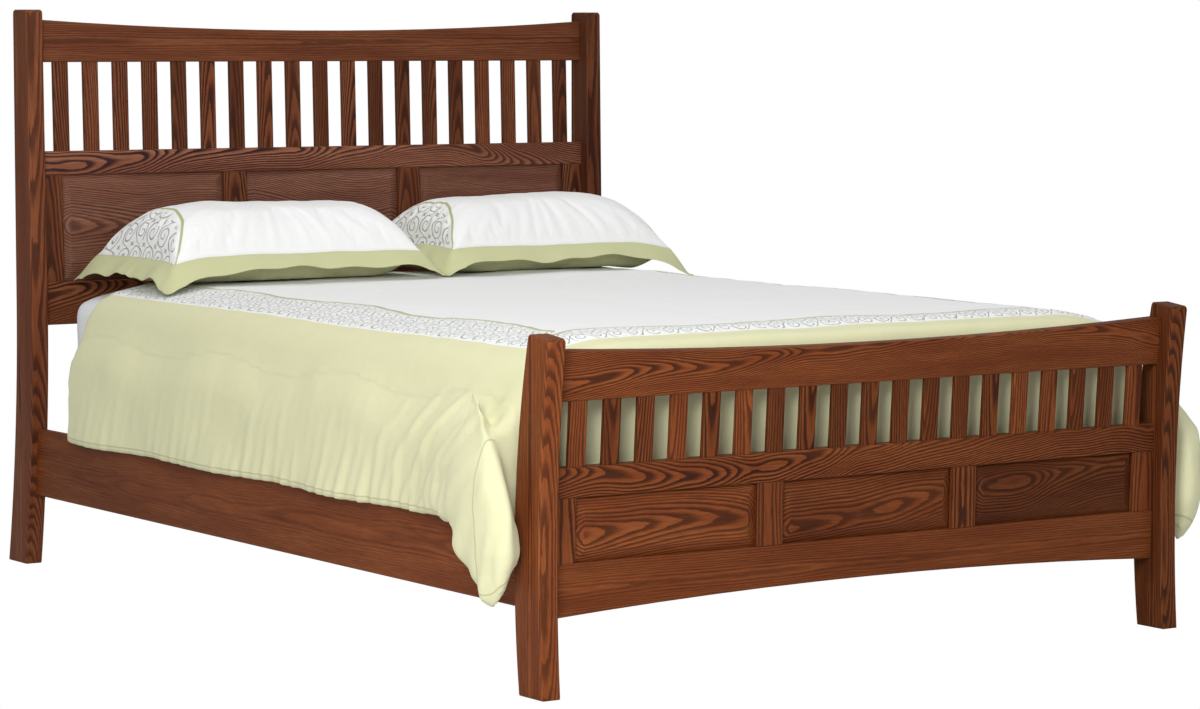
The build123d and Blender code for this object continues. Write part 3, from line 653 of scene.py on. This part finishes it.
def outer_face(xyz, side, size):
    """Furthest reach of one side's drape, on a grid over Y and Z, with the grid's corner."""
    there = xyz[:, 0] * side > DRAPE_X
    reach, y, z = xyz[there, 0] * side, xyz[there, 1], xyz[there, 2]
    corner = np.array([y.min(), z.min()])
    cells = ((np.stack([y, z], axis=1) - corner) // size).astype(int)
    grid = np.zeros(cells.max(axis=0) + 1)
    np.maximum.at(grid, (cells[:, 0], cells[:, 1]), reach)
    return grid, corner


def blur(grid, rounds):
    for _ in range(rounds):
        wide = np.pad(grid, 1, mode="edge")
        grid = (wide[:-2, 1:-1] + wide[2:, 1:-1] + wide[1:-1, :-2] + wide[1:-1, 2:] + 2 * grid) / 6
    return grid


def sample(grid, corner, size, y, z):
    """Grid's value between its cells' middles."""
    a = np.clip((y - corner[0]) / size - 0.5, 0, grid.shape[0] - 1.001)
    b = np.clip((z - corner[1]) / size - 0.5, 0, grid.shape[1] - 1.001)
    i, j = a.astype(int), b.astype(int)
    u, v = a - i, b - j
    low = grid[i, j] * (1 - u) + grid[i + 1, j] * u
    high = grid[i, j + 1] * (1 - u) + grid[i + 1, j + 1] * u
    return low * (1 - v) + high * v


def swell_to_corner(xyz):
    """Brings each side's drape out towards its corner fold, so that one runs into the other."""
    size = DRAPE_CELL
    for side in (-1, 1):
        grid, corner = outer_face(xyz, side, size)
        y = corner[0] + (np.arange(grid.shape[0])[:, None] + 0.5) * size - FLOOR_Y
        z = corner[1] + (np.arange(grid.shape[1])[None, :] + 0.5) * size
        wanted = DRAPE_REACH + CORNER_SWELL * step(y, 0.52, 0.10) * step(z, 0.67, 0.42) * step(y, 0.03, 0.09)
        lack = blur(np.where(grid > 0, np.clip(wanted - grid, 0, 0.08), 0), 4)
        here = (xyz[:, 0] * side > DRAPE_X) & (xyz[:, 1] - FLOOR_Y > 0.05)
        move = sample(lack, corner, size, xyz[here, 1], xyz[here, 2])
        xyz[here, 0] += side * move * step(abs(xyz[here, 0]), DRAPE_X, 0.82)


def make_comforter():
    """Comforter with soft folds down its sides, gathers above its hem and slanted pulls by the foot posts."""
    o = soft_copy("comforter", "comforter_cover", 0.009, 14)
    x, y, z = points(o.data).T
    near_post = step(y - FLOOR_Y, 0.46, 0.36) * step(abs(x), DRAPE_X, 0.83) * step(z, 0.26, 0.36)
    melt(o, near_post, 110)
    p = points(o.data)
    swell_to_corner(p)
    x, y, z = p.T
    from_foot = y - FLOOR_Y
    side = step(abs(x), 0.775, 0.835)
    over_hem = np.ones(len(p))
    for s in (-1, 1):
        here = x * s > 0.7
        places, low = hem_height(p, s)
        over_hem[here] = z[here] - np.interp(y[here], places, low)
    sway = ripple(from_foot * 3.0, z * 2.0, seed=3) * 0.6
    gather = np.sin(2 * math.pi * (from_foot + 0.25 * over_hem) / 0.041 + 2.5 * sway)
    gather += 0.7 * np.sin(2 * math.pi * (from_foot + 0.1 * over_hem) / 0.067 + 3.0 * sway + 1.0)
    toward_foot = 0.35 + 0.65 * step(from_foot, 1.7, 0.7)
    out = 0.0046 * gather * np.exp(-np.clip(over_hem, 0, 1) / 0.085) * toward_foot
    reach = np.where(x > 0, CORNER_REACH_RIGHT, CORNER_REACH_LEFT)
    out += reach * step(abs(x), 0.850, 0.905) * step(z, 0.66, 0.35)
    slant = from_foot - 0.80 * (0.66 - z)
    pulls = np.sin(2 * math.pi * slant / 0.105 + 1.5 * sway)
    pulls += 0.5 * np.sin(2 * math.pi * slant / 0.047 + sway)
    off_fold = 1 - 0.75 * step(abs(x), 0.845, 0.875)
    by_post = np.exp(-(((from_foot - 0.30) / 0.20) ** 2))
    out += 0.0095 * off_fold * pulls * by_post * step(z, 0.22, 0.34) * step(z, 0.66, 0.56)
    out += 0.0085 * ripple(from_foot * 5.0, z * 3.0, seed=8) * step(z, 0.68, 0.60)
    p[:, 0] += np.sign(x) * np.maximum(out, -0.0025) * side
    sag = 0.0035 * (ripple(x * 3.2, y * 3.2, seed=5) - 1.0) + 0.0016 * ripple(x * 13, y * 13, seed=6)
    p[:, 2] += sag * step(z, 0.64, 0.672) * (1 - side) - shoulder(x) * step(z, 0.35, 0.62)
    p[:, 2] -= 0.004 * side * np.exp(-np.clip(over_hem, 0, 1) / 0.12)
    p[:, 1] += 0.013 * step(from_foot, 1.90, 1.98) * step(z, 0.66, 0.60)
    p[:, 1] -= 0.038 * step(abs(x), 0.845, 0.885) * step(from_foot, 0.26, 0.12) * step(z, 0.60, 0.42)
    set_points(o.data, p)
    over = np.sign(x) * (0.80 + np.clip(0.66 - z, 0, 1))
    flat_x = np.where(abs(x) > 0.80, over, x)
    keep_flat(o, np.stack([flat_x, y, np.where(side > 0.5, over_hem, 1.0)], axis=1))
    return o


FLANGE = 0.046
SEAM_HEIGHT = 0.066           # of the pillow's seam over what it lies on
BACK_FULLNESS = 0.085         # how far the pillow's back would bulge below its seam


def along_cloth(place, height, axis):
    """Length along the curved cloth from the middle of the pillow."""
    run = np.hypot(np.diff(place, axis=axis), np.diff(height, axis=axis))
    start = np.zeros_like(np.take(run, [0], axis=axis))
    total = np.concatenate([start, np.cumsum(run, axis=axis)], axis=axis)
    return total - np.take(total, [-1], axis=axis) / 2


def make_pillow(node, name, seed, trim):
    """Full pillow in a cover whose flat flange droops round it. Its back lies flat where it rests."""
    lo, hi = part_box(node)
    middle_x, middle_y = (lo.x + hi.x - trim) / 2, (lo.y + hi.y) / 2
    half_x, half_y = (hi.x - lo.x - trim) / 2 - FLANGE, (hi.y - lo.y) / 2 - FLANGE
    line = []
    for h, n in ((half_x, 96), (half_y, 60)):
        low, high = np.linspace(-h - FLANGE, -h, 7)[:-1], np.linspace(h, h + FLANGE, 7)[1:]
        line.append(np.concatenate([low, np.linspace(-h, h, n), high]))
    X, Y = np.meshgrid(*line, indexing="ij")
    u, v = abs(X) / half_x, abs(Y) / half_y
    shape = np.clip(1 - u ** 8.0, 0, 1) ** 0.58 * np.clip(1 - v ** 2.5, 0, 1) ** 0.56
    past = np.hypot(np.clip(abs(X) - half_x, 0, 1), np.clip(abs(Y) - half_y, 0, 1)) / FLANGE
    round_way = np.arctan2(Y / half_y, X / half_x) * 0.34
    inward = np.minimum(half_x - abs(X), half_y - abs(Y))
    tuck = np.sin(2 * math.pi * round_way / 0.050 + 2 * ripple(round_way * 20, seed=seed))
    tuck += 0.6 * np.sin(2 * math.pi * round_way / 0.083 + seed)
    near_seam = np.exp(-np.clip(inward, 0, 1) / 0.05)
    crease = 0.0024 * tuck * near_seam * (inward > 0) * np.clip(inward / 0.012, 0, 1)
    lumps = 0.0045 * ripple(X * 7, Y * 7, seed=seed + 1)
    crown = (hi.z - lo.z - SEAM_HEIGHT - 0.006) * shape + lumps * np.clip(shape * 2, 0, 1) + crease
    level = SEAM_HEIGHT + 0.006 * ripple(X * 4, Y * 4, seed=seed + 2)
    wave = 0.0050 * np.sin(2 * math.pi * round_way / 0.27 + seed)
    wave += 0.0030 * np.sin(2 * math.pi * round_way / 0.11 + 1)
    droop = 0.034 * past ** 1.2 + 0.020 * (np.clip(u, 0, 1) * np.clip(v, 0, 1)) ** 8 * np.clip(past, 0, 1)
    seam = np.maximum(level - droop + wave * np.clip(past, 0, 1.3), 0.004)
    top = seam + np.clip(crown, 0, 1)
    back = np.where(shape > 0, np.maximum(seam - 0.003 - BACK_FULLNESS * shape, 0.0006), seam - 0.003)
    pull_x = 0.014 * np.sign(X) * np.clip(1 - v ** 2, 0, 1) * np.clip(u, 0, 1) ** 2
    pull_y = 0.013 * np.sign(Y) * np.clip(1 - u ** 2, 0, 1) * np.clip(v, 0, 1) ** 2
    PX, PY = middle_x + X - pull_x, middle_y + Y - pull_y
    n, k = X.shape
    xyz = np.concatenate([np.stack([PX, PY, lo.z + h], axis=2).reshape(-1, 3) for h in (top, back)])
    at = np.arange(n * k).reshape(n, k)
    quads = np.stack([at[:-1, :-1], at[1:, :-1], at[1:, 1:], at[:-1, 1:]], axis=2).reshape(-1, 4)
    ring = np.concatenate([at[:, 0], at[-1, 1:], at[-2::-1, -1], at[0, -2:0:-1]])
    after = np.roll(ring, -1)
    rim = np.stack([after, ring, ring + n * k, after + n * k], axis=1)
    faces = np.concatenate([quads, (quads + n * k)[:, ::-1], rim])
    me = bpy.data.meshes.new(name)
    me.from_pydata(xyz.tolist(), [], faces.tolist())
    me.update()
    o = bpy.data.objects.new(name, me)
    scene.collection.objects.link(o)
    core = ((u < 0.985) & (v < 0.985)).ravel()
    resting = (back <= 0.0007).ravel()
    swell(o, np.concatenate([~core, ~core | resting]), pressure=3.0, give=0.015, cap=0.007)
    p = points(o.data)
    p[:, 2] = np.maximum(p[:, 2], lo.z + 0.0005) - 0.9 * shoulder(p[:, 0])
    set_points(o.data, p)
    top_side = (inward > -0.001).ravel().astype(float)
    a, b = along_cloth(X, top, 0).ravel(), along_cloth(Y, top, 1).ravel()
    flat = np.concatenate([np.stack([a, b, top_side], axis=1), np.stack([a, b, top_side * 0], axis=1)])
    keep_flat(o, flat)
    smooth = o.modifiers.new("fine", "SUBSURF")
    smooth.levels = smooth.render_levels = 1
    o.data.shade_smooth()
    return o


def make_mattress():
    """Mattress in its fitted sheet, pulled in a little at mid-height."""
    o = soft_copy("mattress", "mattress_sheeted", 0.012, 4)
    p = points(o.data)
    lo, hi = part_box("mattress")
    x, y, z = p.T
    height = (z - lo.z) / (hi.z - lo.z)
    side = step(abs(x), 0.745, 0.762)
    end = step(abs(y - (lo.y + hi.y) / 2), (hi.y - lo.y) / 2 - 0.02, (hi.y - lo.y) / 2 - 0.003)
    pull = 0.0035 * np.sin(math.pi * np.clip(height, 0, 1)) - 0.0014 * ripple(y * 9, z * 16, seed=11)
    pull += 0.0012 * np.sin(2 * math.pi * (y + 0.3 * z) / 0.06) * step(height, 0.35, 0.05)
    p[:, 0] -= np.sign(x) * np.clip(pull, 0, 1) * side
    p[:, 1] -= np.sign(y - (lo.y + hi.y) / 2) * np.clip(pull, 0, 1) * end
    p[:, 2] -= 0.0012 * (1 + ripple(x * 6, y * 6, seed=12)) * step(height, 0.93, 0.99)
    p[:, 2] -= 1.1 * shoulder(x) * step(height, 0.25, 0.95)
    set_points(o.data, p)
    return o


def declare(o, node, body, mat):
    o.data.materials.clear()
    o.data.materials.append(mat)
    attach(o, body)
    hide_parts(node)


def make_bedding():
    cover = pillow_material()
    declare(soft_copy("box_spring", "box_spring_covered", 0.012, 3), "box_spring", "box_spring",
            ticking_material())
    declare(make_mattress(), "mattress", "mattress", sheet_material())
    declare(make_comforter(), "comforter", "comforter", comforter_material())
    for i, (side, trim) in enumerate((("left", 0.0), ("right", 0.024))):
        piece = make_pillow("pillow_" + side, "pillow_" + side + "_cover", 21 + 10 * i, trim)
        declare(piece, "pillow_" + side, "pillow_" + side, cover)


dress_wood()
make_bedding()
white_stage()
lights()
camera()
